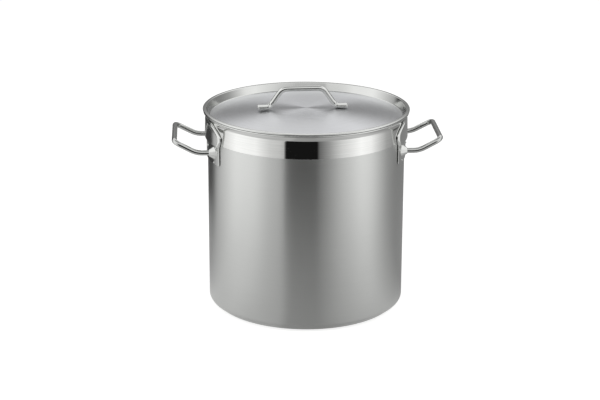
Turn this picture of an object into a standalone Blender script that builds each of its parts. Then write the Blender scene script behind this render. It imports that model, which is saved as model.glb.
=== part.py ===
"""A stock pot with its lid: a drawn steel shell on a sandwich base, two bar handles on pressed
brackets, and a recessed lid with a bar handle. Metres, +Z up. The origin is the middle of the
face that the pot stands on, and the side handles lie along X."""

import math

import bmesh
import bpy
from mathutils import Matrix, Vector

# --- driving dimensions ---------------------------------------------------------------------
HEIGHT = 0.369  # floor to the lid's flange
WALL_RADIUS = 0.180  # outside of the wall
SHEET = 0.001  # the shell's and the lid's sheet
FIT_GAP = 0.0003  # between pieces that touch

# sandwich base: a steel cap over an aluminium disc
BASE_RADIUS = 0.1705
BASE_HEIGHT = 0.005
CAP_SHEET = 0.0006
CAP_EDGE = 0.004  # rounding of the cap's lower edge
CORNER_RADIUS = 0.009  # the shell's lower corner

# rim: the wall flares out to a rolled bead
RIM_RADIUS = 0.1886
FLARE_START = 0.3515
FLARE_RADIUS = 0.015
FLARE_ANGLE = math.radians(48)
RIM_BEAD = 0.0015
RIM_BEAD_REACH = 0.1875  # a little inside the lid's edge
RIM_BEAD_HEIGHT = 0.3638

# lid: a flange that slopes a little, a steep wall, a crease and a low dome
LID_BEAD = 0.0015
FLANGE_SLOPE = 9  # degrees, down and outwards
FLANGE_DROP = 0.0004
CREASE_RADIUS = 0.1752
CREASE_HEIGHT = 0.3544
CREASE_ROUND = 0.0018
LID_WALL_TOP = 0.1812
LID_ROUND = 0.0018
LID_WALL_FOOT = 0.002  # how far the wall's foot stands out of the crease
DOME_HEIGHT = 0.367
DOME_EDGE = CREASE_RADIUS - 0.0015
LID_TURN = math.radians(2.8)  # how the lid happens to lie on the pot

# side handles, along the leg from the wall outwards
HANDLE_BAR = 0.0048
LEG_HEIGHT = 0.302
LEG_HALF_SPAN = 0.0641
LEG_END = 0.1706
LEG_BEND = 0.2006
GRIP_REACH = 0.2399
GRIP_HEIGHT = 0.3226
GRIP_HALF_SPAN = 0.0626
LEG_BEND_RADIUS = 0.045
GRIP_BEND_RADIUS = 0.012

# side brackets: a flat flange below, a raised hood above
PLATE_GAP = 0.0006
PLATE_SHEET = 0.0014
HOOD_FOOT = 0.3155
HOOD_RISE_TOP = 0.0024
HOOD_RISE_FOOT = 0.0034
HOOD_EDGE = 0.006  # width of the hood's sloping border
HOOD_TOP_SHARE = 1.5  # the border is this much shorter at the top than at the sides
HOOD_NEAR = 0.4  # share of the border at which it gets its own column
COLLAR_LENGTH = 0.008
COLLAR_MOUTH = 0.0064
COLLAR_FLARE = 0.48  # growth in radius for each metre of length
COLLAR_ROOT = 0.007  # how far the cone is drawn in under the plate, before it is cut
COLLAR_SHEET = 0.0022
DRUM_HEIGHT = 0.08  # of the cutter that gives a collar its curved foot
HOLE_REACH = 0.020  # how far the cutter of a leg's hole reaches inwards
WELD_WIDTH = 0.0013
WELD_LENGTH = 0.0018

# lid handle, from its middle outwards
LID_BAR = 0.005
LID_GRIP_HALF = 0.0371
LID_RISER_FOOT = 0.0594
LID_FOOT_END = 0.0822
LID_GRIP_HEIGHT = 0.4030
LID_BEND_RADIUS = 0.018
FOOT_HALF_WIDTH = 0.0078
FOOT_HALF_HEIGHT = 0.0038
FOOT_GROOVE = 0.0036
LID_HANDLE_SHIFT = -0.0066  # the handle sits a little off the lid's middle, along its own length
PRESS_START = 0.002  # the pressed foot starts this far before the riser's foot
PRESS_LENGTH = 0.005

# weld spots
SPOT_RADIUS = 0.0021
SPOT_HEIGHT = 0.0009
LID_SPOT_RADIUS = 0.0012
LID_SPOT_HEIGHT = 0.0006
LID_SPOT_REACHES = (("inner", 0.0665), ("outer", 0.0755))

TURN_STEPS = 60
BAR_SIDES = 10
COLLAR_STEPS = 20
DRUM_STEPS = 180
SHARP = math.radians(35)


# --- helpers --------------------------------------------------------------------------------
def clear_scene():
    for obj in list(bpy.data.objects):
        bpy.data.objects.remove(obj)


def steel(name, color, roughness):
    material = bpy.data.materials.new(name)
    material.use_nodes = True
    shader = material.node_tree.nodes["Principled BSDF"]
    shader.inputs["Base Color"].default_value = (*color, 1.0)
    shader.inputs["Metallic"].default_value = 1.0
    shader.inputs["Roughness"].default_value = roughness
    return material


def add_object(name, mesh, material):
    """A smooth-shaded object with one material."""
    mesh.materials.append(material)
    mesh.shade_smooth()
    mesh.set_sharp_from_angle(angle=SHARP)
    obj = bpy.data.objects.new(name, mesh)
    bpy.context.scene.collection.objects.link(obj)
    return obj


def mesh_from(name, form):
    bmesh.ops.recalc_face_normals(form, faces=form.faces)
    mesh = bpy.data.meshes.new(name)
    form.to_mesh(mesh)
    form.free()
    return mesh


def arc(center, radius, start, end, steps):
    """Points of an arc in the profile's plane; the angles are in degrees."""
    points = []
    for step in range(steps + 1):
        angle = math.radians(start + (end - start) * step / steps)
        points.append((center[0] + radius * math.cos(angle), center[1] + radius * math.sin(angle)))
    return points


def offset_path(path, distance):
    """The path moved sideways by a distance, to its left; points on the axis stay on it."""
    points = [Vector(point) for point in path]
    moved = []
    for index, point in enumerate(points):
        before = (point - points[index - 1]).normalized() if index else None
        after = (points[index + 1] - point).normalized() if index + 1 < len(points) else None
        sides = [Vector((-way.y, way.x)) for way in (before, after) if way]
        normal = sum(sides, Vector((0, 0))).normalized()
        place = point + normal * distance / normal.dot(sides[0])
        moved.append((0.0 if point.x == 0 else place.x, place.y))
    return moved


def turned(name, outline, steps=TURN_STEPS):
    """A closed outline of (radius, height), or one that ends on the axis, turned round Z."""
    form = bmesh.new()
    verts = [form.verts.new((radius, 0, height)) for radius, height in outline]
    edges = [form.edges.new(pair) for pair in zip(verts, verts[1:])]
    if outline[0][0] > 0:
        edges.append(form.edges.new((verts[-1], verts[0])))
    bmesh.ops.spin(
        form, geom=verts + edges, axis=(0, 0, 1), cent=(0, 0, 0),
        angle=math.tau, steps=steps, use_merge=True,
    )
    bmesh.ops.remove_doubles(form, verts=form.verts, dist=1e-6)
    return mesh_from(name, form)


def rounded_route(corners, radii, steps=5):
    """A route through corner points, with an arc of the given radius at each inner corner."""
    points = [Vector(corners[0])]
    for before, corner, after, radius in zip(corners, corners[1:], corners[2:], radii):
        corner = Vector(corner)
        back = (Vector(before) - corner).normalized()
        ahead = (Vector(after) - corner).normalized()
        half = back.angle(ahead) / 2
        center = corner + (back + ahead).normalized() * radius / math.sin(half)
        start = corner + back * radius / math.tan(half) - center
        end = corner + ahead * radius / math.tan(half) - center
        for step in range(steps + 1):
            points.append(center + start.slerp(end, step / steps).normalized() * radius)
    points.append(Vector(corners[-1]))
    return points


def bar_along(name, route, radius, material):
    """A round bar on a route, with closed ends."""
    curve = bpy.data.curves.new(name, "CURVE")
    curve.dimensions = "3D"
    curve.bevel_depth = radius
    curve.bevel_resolution = (BAR_SIDES - 4) // 2
    curve.use_fill_caps = True
    spline = curve.splines.new("POLY")
    spline.points.add(len(route) - 1)
    for point, place in zip(spline.points, route):
        point.co = (*place, 1.0)
    curve.materials.append(material)
    obj = bpy.data.objects.new(name, curve)
    bpy.context.scene.collection.objects.link(obj)
    return obj


def cut(obj, cutter):
    cutter.hide_render = True
    cutter.display_type = "WIRE"
    modifier = obj.modifiers.new("cut", "BOOLEAN")
    modifier.operation = "DIFFERENCE"
    modifier.object = cutter


# --- shell and base ---------------------------------------------------------------------------
def make_shell(material):
    """Floor, wall and flare are one sheet; the flare ends in a rolled bead."""
    corner = (WALL_RADIUS - CORNER_RADIUS, BASE_HEIGHT + CORNER_RADIUS)
    flare = (WALL_RADIUS + FLARE_RADIUS, FLARE_START)
    outer = [(0.0, BASE_HEIGHT)]
    outer += arc(corner, CORNER_RADIUS, -90, 0, 4)
    outer += arc(flare, FLARE_RADIUS, 180, 180 - math.degrees(FLARE_ANGLE), 4)
    inner = offset_path(outer, SHEET)
    bead = (RIM_BEAD_REACH - RIM_BEAD, RIM_BEAD_HEIGHT)
    outline = outer + arc(bead, RIM_BEAD, -130, 130, 6) + inner[::-1]
    return add_object("pot_shell", turned("pot_shell", outline), material)


def make_base(cap_material, core_material):
    edge = (BASE_RADIUS - CAP_EDGE, CAP_EDGE)
    rim = BASE_HEIGHT - FIT_GAP
    outer = [(0.0, 0.0)] + arc(edge, CAP_EDGE, -90, 0, 4) + [(BASE_RADIUS, rim)]
    inner = offset_path(outer, CAP_SHEET)
    add_object("base_cap", turned("base_cap", outer + inner[::-1]), cap_material)

    lip = BASE_RADIUS - CAP_SHEET - FIT_GAP
    low = CAP_SHEET + FIT_GAP
    rounding = CAP_EDGE - CAP_SHEET
    disc = [(0.0, low)] + arc((lip - rounding, low + rounding), rounding, -90, 0, 3)
    disc += [(lip, rim), (0.0, rim)]
    add_object("base_core", turned("base_core", disc), core_material)


# --- side handles -----------------------------------------------------------------------------
def wall_point(arc_length, height, stand_off):
    """A point off the wall: arc_length is measured round the wall from the handle's middle."""
    angle = arc_length / WALL_RADIUS
    radius = WALL_RADIUS + stand_off
    return Vector((radius * math.cos(angle), radius * math.sin(angle), height))


# half the bracket's width at each height, from its lower edge to its upper one
BRACKET_OUTLINE = (
    (0.2810, 0.0825), (0.2825, 0.0865), (0.2860, 0.0880), (0.2950, 0.0880), (0.3040, 0.0880),
    (0.3120, 0.0880), (HOOD_FOOT, 0.0880), (0.3180, 0.0889), (0.3210, 0.0906), (0.3270, 0.0933),
    (0.3320, 0.0942), (0.3370, 0.0924), (0.3420, 0.0870), (0.3470, 0.0780), (0.3510, 0.0665),
    (0.3545, 0.0520),
)
HOOD_TOP = BRACKET_OUTLINE[-1][0]


def hood_rise(from_side, height):
    """How far the hood stands out of the flange, falling off to its sides and its upper edge."""
    if height <= HOOD_FOOT:
        return 0.0
    along = (height - HOOD_FOOT) / (HOOD_TOP - HOOD_FOOT)
    full = HOOD_RISE_FOOT + (HOOD_RISE_TOP - HOOD_RISE_FOOT) * along
    inset = min(from_side, (HOOD_TOP - height) * HOOD_TOP_SHARE, HOOD_EDGE)
    return full * math.sin(inset / HOOD_EDGE * math.pi / 2)


def bracket_columns(half_width, middle=14):
    """Places across the bracket: two close to each side for the hood's rounding."""
    inner = half_width - HOOD_EDGE
    between = [-inner + 2 * inner * step / middle for step in range(middle + 1)]
    near = half_width - HOOD_EDGE * HOOD_NEAR
    return [-half_width, -near, *between, near, half_width]


def make_bracket(side, material):
    form = bmesh.new()
    layers = []
    for depth in (0.0, PLATE_SHEET):
        layer = []
        for height, half_width in BRACKET_OUTLINE:
            row = []
            for place in bracket_columns(half_width):
                rise = hood_rise(half_width - abs(place), height)
                stand_off = PLATE_GAP + PLATE_SHEET + rise - depth
                row.append(form.verts.new(wall_point(place, height, stand_off)))
            layer.append(row)
        layers.append(layer)
    for layer in layers:
        for low, high in zip(layer, layer[1:]):
            for index in range(len(low) - 1):
                form.faces.new((low[index], low[index + 1], high[index + 1], high[index]))
    outer, inner = [
        layer[0] + [row[-1] for row in layer[1:-1]] + layer[-1][::-1]
        + [row[0] for row in layer[-2:0:-1]]
        for layer in layers
    ]
    for index in range(len(outer)):
        after = (index + 1) % len(outer)
        form.faces.new((outer[index], outer[after], inner[after], inner[index]))
    name = f"side_bracket_{side}"
    plate = add_object(name, mesh_from(name, form), material)
    for sign in (-1, 1):
        cut(plate, leg_cutter(f"{name}_hole_{sign}", sign, HANDLE_BAR + FIT_GAP))
    return plate


def along_leg(obj, sign):
    """Turns an object made round Z so that it lies round a leg of the handle, base at X = 0."""
    obj.data.transform(Matrix.Rotation(math.pi / 2, 4, "Y"))
    obj.data.transform(Matrix.Translation((0, sign * LEG_HALF_SPAN, LEG_HEIGHT)))


def leg_cutter(name, sign, radius):
    start, end = LEG_END - HOLE_REACH, LEG_BEND
    outline = [(0.0, start), (radius, start), (radius, end), (0.0, end)]
    cutter = add_object(name, turned(name, outline, COLLAR_STEPS), MATERIALS["handle"])
    along_leg(cutter, sign)
    return cutter


def make_collar(side, end, sign, material):
    """The conical collar round a leg, cut to sit on the curved plate."""
    face = WALL_RADIUS + PLATE_GAP + PLATE_SHEET
    seat = math.sqrt(face**2 - LEG_HALF_SPAN**2)
    mouth = seat + COLLAR_LENGTH
    foot = seat - COLLAR_ROOT
    wide = COLLAR_MOUTH + COLLAR_FLARE * (mouth - foot)
    bore = HANDLE_BAR + FIT_GAP
    step = mouth - COLLAR_SHEET
    outline = [
        (wide, foot), (COLLAR_MOUTH, mouth), (bore, mouth), (bore, step),
        (wide - COLLAR_SHEET, foot),
    ]
    name = f"handle_collar_{side}_{end}"
    collar = add_object(name, turned(name, outline, COLLAR_STEPS), material)
    along_leg(collar, sign)
    form = bmesh.new()
    bmesh.ops.create_cone(
        form, cap_ends=True, segments=DRUM_STEPS, radius1=face + FIT_GAP,
        radius2=face + FIT_GAP, depth=DRUM_HEIGHT,
    )
    drum = add_object(f"{name}_seat", mesh_from(f"{name}_seat", form), material)
    drum.location.z = LEG_HEIGHT
    cut(collar, drum)
    return collar


def make_handle_weld(side, end, sign, material):
    """The ring of weld that holds the leg inside its collar."""
    inner = HANDLE_BAR + FIT_GAP
    low = LEG_END + COLLAR_SHEET
    outline = [(inner, low), (inner + WELD_WIDTH, low), (inner, low + WELD_LENGTH)]
    name = f"handle_weld_{side}_{end}"
    weld = add_object(name, turned(name, outline, COLLAR_STEPS), material)
    along_leg(weld, sign)
    return weld


def make_side_handle(side, material):
    leg = [(LEG_END, LEG_HALF_SPAN, LEG_HEIGHT), (LEG_BEND, LEG_HALF_SPAN, LEG_HEIGHT)]
    corner = (GRIP_REACH, GRIP_HALF_SPAN, GRIP_HEIGHT)
    half = [*leg, corner]
    corners = half + [(x, -y, z) for x, y, z in half[::-1]]
    bends = [LEG_BEND_RADIUS, GRIP_BEND_RADIUS, GRIP_BEND_RADIUS, LEG_BEND_RADIUS]
    return bar_along(f"side_handle_{side}", rounded_route(corners, bends), HANDLE_BAR, material)


SPOT_PLACES = ((0.0755, 0.3134), (0.0822, 0.3068), (0.0680, 0.2850), (0.0270, 0.3065))


def spot_mesh(name, radius, height):
    outline = [(0.0, 0.0), (radius, 0.0), (radius * 0.8, height * 0.6), (0.0, height)]
    return turned(name, outline, 10)


def make_spots(side, material):
    spots = []
    stand_off = PLATE_GAP + PLATE_SHEET + FIT_GAP
    places = [(sign * place, height) for sign in (-1, 1) for place, height in SPOT_PLACES]
    for number, (place, height) in enumerate(places, 1):
        name = f"spot_weld_{side}_{number}"
        spot = add_object(name, spot_mesh(name, SPOT_RADIUS, SPOT_HEIGHT), material)
        spot.data.transform(Matrix.Rotation(math.pi / 2, 4, "Y"))
        spot.data.transform(Matrix.Rotation(place / WALL_RADIUS, 4, "Z"))
        spot.location = wall_point(place, height, stand_off)
        spots.append(spot)
    return spots


def make_side(side, turn):
    """Everything on one side, made at +X and turned about the pot's axis by an empty."""
    pieces = [make_bracket(side, MATERIALS["bracket"]), make_side_handle(side, MATERIALS["handle"])]
    for end, sign in (("front", -1), ("back", 1)):
        sign = sign if turn == 0 else -sign
        pieces.append(make_collar(side, end, sign, MATERIALS["handle"]))
        pieces.append(make_handle_weld(side, end, sign, MATERIALS["weld"]))
    pieces += make_spots(side, MATERIALS["weld"])
    cutters = [m.object for piece in pieces for m in piece.modifiers if m.type == "BOOLEAN"]
    holder = bpy.data.objects.new(f"side_{side}", None)
    bpy.context.scene.collection.objects.link(holder)
    for piece in pieces + cutters:
        piece.parent = holder
    holder.rotation_euler.z = turn


# --- lid --------------------------------------------------------------------------------------
def dome_height(radius):
    drop = DOME_HEIGHT - CREASE_HEIGHT
    return DOME_HEIGHT - drop * (radius / CREASE_RADIUS) ** 2


def make_lid_pan(material):
    top = [(DOME_EDGE * step / 4, dome_height(DOME_EDGE * step / 4)) for step in range(5)]
    run = LID_WALL_TOP - CREASE_RADIUS - LID_WALL_FOOT
    lean = math.degrees(math.atan2(HEIGHT - CREASE_HEIGHT, run))
    top += arc((CREASE_RADIUS, CREASE_HEIGHT + CREASE_ROUND), CREASE_ROUND, -75, lean - 90, 3)
    shoulder = (LID_WALL_TOP + LID_ROUND, HEIGHT - LID_ROUND)
    top += arc(shoulder, LID_ROUND, lean + 90, 90 - FLANGE_SLOPE, 3)
    bead_center = (RIM_RADIUS - LID_BEAD, HEIGHT - FLANGE_DROP - LID_BEAD)
    bead = arc(bead_center, LID_BEAD, 90 - FLANGE_SLOPE, -205, 6)
    top.append(bead[0])
    under = offset_path(top, -SHEET)
    outline = top + bead[1:] + under[::-1]
    return add_object("lid_pan", turned("lid_pan", outline), material)


def bar_section(press):
    """A bar's section, from round (press 0) to a pressed foot with a groove on top (press 1)."""
    points = []
    for side in range(12):
        angle = math.tau * (side + 0.5) / 12
        across, up = math.cos(angle), math.sin(angle)
        round_point = Vector((across * LID_BAR, up * LID_BAR))
        foot = Vector((
            FOOT_HALF_WIDTH * math.copysign(abs(across) ** 0.5, across),
            FOOT_HALF_HEIGHT * math.copysign(abs(up) ** 0.5, up),
        ))
        if up > 0.9:
            foot.y -= FOOT_GROOVE
        points.append(round_point.lerp(foot, press))
    return points


def foot_height():
    """The bar's centre height over the feet, which lie on the dome."""
    return dome_height(LID_RISER_FOOT) + FIT_GAP + LID_BAR


def make_lid_handle(material):
    low = foot_height()
    half = [
        (LID_FOOT_END, 0, low), (LID_RISER_FOOT, 0, low), (LID_GRIP_HALF, 0, LID_GRIP_HEIGHT),
    ]
    corners = half + [(-x, y, z) for x, y, z in half[::-1]]
    route = rounded_route(corners, [LID_BEND_RADIUS] * 4)
    presses = [press_at(place) for place in route]
    form = bmesh.new()
    rings = []
    for index, place in enumerate(route):
        ahead = route[min(index + 1, len(route) - 1)] - route[max(index - 1, 0)]
        up = Vector((0, 1, 0)).cross(ahead.normalized())
        drop = (LID_BAR - FOOT_HALF_HEIGHT) * presses[index]
        ring = [
            form.verts.new(place + Vector((0, point.x, -drop)) + up * point.y)
            for point in bar_section(presses[index])
        ]
        rings.append(ring)
    for ring, after in zip(rings, rings[1:]):
        for side in range(len(ring)):
            other = (side + 1) % len(ring)
            form.faces.new((ring[side], ring[other], after[other], after[side]))
    form.faces.new(rings[0])
    form.faces.new(rings[-1])
    handle = add_object("lid_handle", mesh_from("lid_handle", form), material)
    handle.location.x = LID_HANDLE_SHIFT
    return handle


def press_at(place):
    """Round on the grip and the risers, fully pressed on the feet."""
    start = LID_RISER_FOOT - PRESS_START
    along = (abs(place.x) - start) / PRESS_LENGTH
    return min(1.0, max(0.0, along))


def make_lid_welds(material):
    """Two weld spots in each foot's groove."""
    groove = foot_height() - LID_BAR + 2 * FOOT_HALF_HEIGHT - FOOT_GROOVE + FIT_GAP
    for side, sign in (("left", -1), ("right", 1)):
        for place, reach in LID_SPOT_REACHES:
            name = f"lid_weld_{side}_{place}"
            mesh = spot_mesh(name, LID_SPOT_RADIUS, LID_SPOT_HEIGHT)
            spot = add_object(name, mesh, material)
            spot.location = (LID_HANDLE_SHIFT + sign * reach, 0, groove)
            yield spot


def make_lid():
    """The lid's pieces hang on an empty on the pot's axis, which is also the lift's axis."""
    lift = bpy.data.objects.new("lid_lift", None)
    bpy.context.scene.collection.objects.link(lift)
    pieces = [make_lid_pan(MATERIALS["lid"]), make_lid_handle(MATERIALS["handle"])]
    pieces += make_lid_welds(MATERIALS["weld"])
    for piece in pieces:
        piece.parent = lift
    lift.rotation_euler.z = LID_TURN


# --- the object -------------------------------------------------------------------------------
clear_scene()
MATERIALS = {
    "shell": steel("satin stainless steel", (0.50, 0.50, 0.49), 0.34),
    "lid": steel("spun stainless steel", (0.53, 0.53, 0.54), 0.30),
    "base": steel("plain stainless steel", (0.42, 0.42, 0.41), 0.40),
    "core": steel("aluminium", (0.62, 0.63, 0.65), 0.45),
    "bracket": steel("pressed stainless steel", (0.50, 0.50, 0.49), 0.22),
    "handle": steel("polished stainless steel", (0.60, 0.60, 0.59), 0.14),
    "weld": steel("polished weld", (0.66, 0.66, 0.65), 0.20),
}
make_shell(MATERIALS["shell"])
make_base(MATERIALS["base"], MATERIALS["core"])
make_side("right", 0.0)
make_side("left", math.pi)
make_lid()
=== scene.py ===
# %% [markdown]
# # A stock pot in stainless steel
# The shapes come from a CAD model whose pieces are already named and in place. This script gives
# them the surfaces of the real pot: a wall brushed round and round, a mirror band under the rim,
# a lid spun on a lathe and bars that were polished after bending. Steel has hardly any colour of
# its own, so most of the work is in how rough each surface is, which way its marks run, and what
# stands round the pot to be mirrored in it.

# %% Load the frame
import math

import bmesh
import bpy
from mathutils import Matrix, Vector


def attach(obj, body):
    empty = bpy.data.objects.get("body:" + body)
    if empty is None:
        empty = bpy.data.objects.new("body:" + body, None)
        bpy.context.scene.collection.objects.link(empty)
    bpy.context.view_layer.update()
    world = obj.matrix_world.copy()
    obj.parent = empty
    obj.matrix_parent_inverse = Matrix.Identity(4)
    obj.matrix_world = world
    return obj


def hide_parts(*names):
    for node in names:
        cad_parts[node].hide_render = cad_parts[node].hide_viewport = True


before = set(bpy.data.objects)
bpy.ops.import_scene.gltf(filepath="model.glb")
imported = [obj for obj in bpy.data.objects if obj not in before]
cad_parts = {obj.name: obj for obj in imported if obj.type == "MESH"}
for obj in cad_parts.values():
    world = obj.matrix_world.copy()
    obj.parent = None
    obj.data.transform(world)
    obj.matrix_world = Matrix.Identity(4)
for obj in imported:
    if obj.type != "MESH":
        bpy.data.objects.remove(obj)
bpy.context.view_layer.update()
MM = 0.001

# %% [markdown]
# ## Small helpers
# Every material and every geometry tree below is a set of nodes and links. One function that
# adds a node with its settings, its fixed values and its links keeps those trees readable.
# Colours are written as a painter's sRGB hex value. Shaders calculate in linear light, so
# another function turns one into the other. Pieces that are placed corner by corner share the
# two functions that join rings of corners into faces and make a mesh of them.


# %% Node, colour and mesh helpers
def add_node(tree, kind, links=None, values=None, **settings):
    """A node with its properties, its fixed input values and the sockets that feed it."""
    node = tree.nodes.new(kind)
    for name, value in settings.items():
        setattr(node, name, value)
    for key, value in (values or {}).items():
        node.inputs[key].default_value = value
    for key, socket in (links or {}).items():
        tree.links.new(socket, node.inputs[key])
    return node


def linear(hex_color):
    """An sRGB hex colour as linear RGBA."""
    channels = [int(hex_color[start:start + 2], 16) / 255 for start in (1, 3, 5)]
    return (*[c / 12.92 if c <= 0.04045 else ((c + 0.055) / 1.055) ** 2.4 for c in channels], 1.0)


def new_material(name):
    """An empty node material: its tree, its Principled shader and the material itself."""
    material = bpy.data.materials.new(name)
    material.use_nodes = True
    return material.node_tree, material.node_tree.nodes["Principled BSDF"], material


def mesh_from(form, name, material):
    """A mesh with one material from an edited form, which is freed."""
    mesh = bpy.data.meshes.new(name)
    form.to_mesh(mesh)
    form.free()
    mesh.materials.append(material)
    return mesh


def skin(form, rings):
    """Faces from each closed ring of corners to the next."""
    for ring, after in zip(rings, rings[1:]):
        for n in range(len(ring)):
            other = (n + 1) % len(ring)
            form.faces.new((ring[n], ring[other], after[other], after[n]))


# %% [markdown]
# ## Camera
# The view is a catalogue one: a long lens about three metres away and a little above the rim, so
# that the lid shows as a narrow ellipse and the sides of the pot hardly lean. The camera's axes
# are worked out from its heading, its pitch and a small roll.

# %% Camera
CAMERA_PLACE = Vector((-0.1833, -2.9909, 1.1639))
CAMERA_HEADING = math.radians(3.3)  # to the right of +Y
CAMERA_PITCH = math.radians(18.01)  # looking down
CAMERA_ROLL = math.radians(0.218)
CAMERA_LENS = 102

ahead = Vector((
    math.sin(CAMERA_HEADING) * math.cos(CAMERA_PITCH),
    math.cos(CAMERA_HEADING) * math.cos(CAMERA_PITCH),
    -math.sin(CAMERA_PITCH),
))
camera = bpy.data.objects.new("camera", bpy.data.cameras.new("camera"))
bpy.context.scene.collection.objects.link(camera)
camera.data.lens = CAMERA_LENS
camera.rotation_mode = "QUATERNION"
camera.rotation_quaternion = (
    ahead.to_track_quat("-Z", "Y") @ Matrix.Rotation(CAMERA_ROLL, 4, "Z").to_quaternion()
)
camera.location = CAMERA_PLACE
bpy.context.scene.camera = camera
print("camera at", [round(value, 3) for value in camera.location])

# %% [markdown]
# ## Studio
# Polished steel shows its surroundings and little else. A steel pot is therefore shown in a tent
# of white cloth with lamps outside it and a slit for the lens: the slit is the dark block in the
# middle of the mirror band. A ramp round the horizon holds how bright each part of the tent is.
# The pot stands on a round white cloth, which the foot of the wall mirrors more than the rim
# does. Tent and cloth are seen only in reflections.

# %% Tent
LENS_SIDE = -93.5  # the heading, from the pot, in which the camera stands, in degrees
TENT_RADIUS = 8.0
# (degrees to the right of the lens side, brightness of the cloth)
TENT_WALL = (
    (-178, 0.27), (-162, 0.24), (-154, 0.06), (-134, 0.07), (-126, 0.60), (-88, 1.38), (-60, 1.28),
    (-42, 0.86), (-30, 0.74), (-25, 0.62), (-23.5, 0.01), (13, 0.01), (15, 0.17), (26, 0.41),
    (42, 0.88), (66, 1.34), (80, 1.22), (92, 0.86), (106, 0.50), (125, 0.33), (150, 0.30),
    (172, 0.27),
)
TABLE_RADIUS = 0.68
TABLE_TOP = (
    (-178, 0.40), (-125, 0.48), (-88, 0.80), (-60, 0.76), (-40, 0.60), (-18, 0.54),
    (-12, 0.42), (10, 0.38), (16, 0.42), (40, 0.55), (66, 0.72), (80, 0.62), (110, 0.36),
)
TABLE_DROP = 0.1 * MM  # below the pot's foot
DISC_SEGMENTS = 64
ROOF_LAMPS = 1.35  # low on the roof, where the lamps shine through
ROOF_TOP = 0.5
WALL_TO_ROOF = (math.radians(15), math.radians(42))  # the cloth's wall turns into its roof
LAMPS_TO_TOP = (math.radians(50), math.radians(70))  # the lamps fade towards the top


def round_ramp(tree, place, levels):
    """Brightness by the heading of a place, from (degrees, level) pairs."""
    turn = add_node(tree, "ShaderNodeMapping", {"Vector": place}, {
        "Rotation": (0, 0, math.radians(-LENS_SIDE)),
    }).outputs["Vector"]
    around = add_node(tree, "ShaderNodeTexGradient", {"Vector": turn}, gradient_type="RADIAL")
    ramp = add_node(tree, "ShaderNodeValToRGB", {"Fac": around.outputs["Fac"]})
    stops = ramp.color_ramp.elements
    stops.remove(stops[1])
    stops[0].position = 0
    for degrees, level in levels:
        stops.new((degrees + 180) / 360).color = (level, level, level, 1)
    stops[0].color = stops[1].color
    return ramp.outputs["Color"]


def glowing(name):
    """A material that only glows: its tree, its place socket, its glow and the material."""
    tree, shader, material = new_material(name)
    tree.nodes.remove(shader)
    glow = add_node(tree, "ShaderNodeEmission")
    tree.links.new(glow.outputs[0], tree.nodes["Material Output"].inputs["Surface"])
    material.cycles.emission_sampling = "NONE"
    return tree, add_node(tree, "ShaderNodeTexCoord").outputs["Object"], glow, material


def stage_mirrored(name, form, material):
    """A stage piece that only the steel's reflections see."""
    piece = bpy.data.objects.new(name, mesh_from(form, name, material))
    bpy.context.scene.collection.objects.link(piece)
    piece.visible_camera = piece.visible_diffuse = piece.visible_shadow = False
    return piece


def make_tent():
    tree, place, glow, material = glowing("tent cloth")
    wall = round_ramp(tree, place, TENT_WALL)
    sides = add_node(tree, "ShaderNodeVectorMath", {0: place}, operation="NORMALIZE")
    height = add_node(tree, "ShaderNodeSeparateXYZ", {0: sides.outputs[0]}).outputs["Z"]
    up = add_node(tree, "ShaderNodeMapRange", {"Value": height}, {
        "From Min": math.sin(WALL_TO_ROOF[0]), "From Max": math.sin(WALL_TO_ROOF[1]),
    }, interpolation_type="SMOOTHSTEP")
    roof_light = add_node(tree, "ShaderNodeMapRange", {"Value": height}, {
        "From Min": math.sin(LAMPS_TO_TOP[0]), "From Max": math.sin(LAMPS_TO_TOP[1]),
        "To Min": ROOF_LAMPS, "To Max": ROOF_TOP,
    }, interpolation_type="SMOOTHSTEP")
    roofed = add_node(tree, "ShaderNodeMix", {
        "Factor": up.outputs[0], "A": wall, "B": roof_light.outputs[0],
    }, data_type="RGBA")
    tree.links.new(roofed.outputs["Result"], glow.inputs["Color"])
    form = bmesh.new()
    bmesh.ops.create_uvsphere(form, u_segments=48, v_segments=24, radius=TENT_RADIUS)
    stage_mirrored("tent", form, material)


def make_table():
    tree, place, glow, material = glowing("table cloth")
    tree.links.new(round_ramp(tree, place, TABLE_TOP), glow.inputs["Color"])
    form = bmesh.new()
    bmesh.ops.create_circle(form, cap_ends=True, segments=DISC_SEGMENTS, radius=TABLE_RADIUS)
    stage_mirrored("table", form, material).location.z = -TABLE_DROP


make_tent()
make_table()

# %% [markdown]
# ## Floor, world and lamps
# The floor is matt white card. For the camera it also glows a little, so that it reaches the
# white of the background and only the shadow under the pot stays darker. It is left out of the
# steel's reflections, where the cloth and the tent stand for it. The world is plain white for
# whatever looks straight at it, and gentler as a light.

# %% Floor, world and lamps
FLOOR_GLOW = 0.78
FLOOR_CARD = linear("#A6A6A4")
FLOOR_RADIUS = 6
FLOOR_DROP = 0.2 * MM  # below the table cloth
WORLD_LEVEL = 0.55
SOFT_BOXES = {"left soft box": (-1.8, -0.6, 2.2), "right soft box": (1.8, -0.6, 2.2)}
SOFT_BOX_SIZE = 1.6
SOFT_BOX_POWER = 28
SOFT_BOX_AIM = Vector((0, 0, 0.2))


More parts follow.
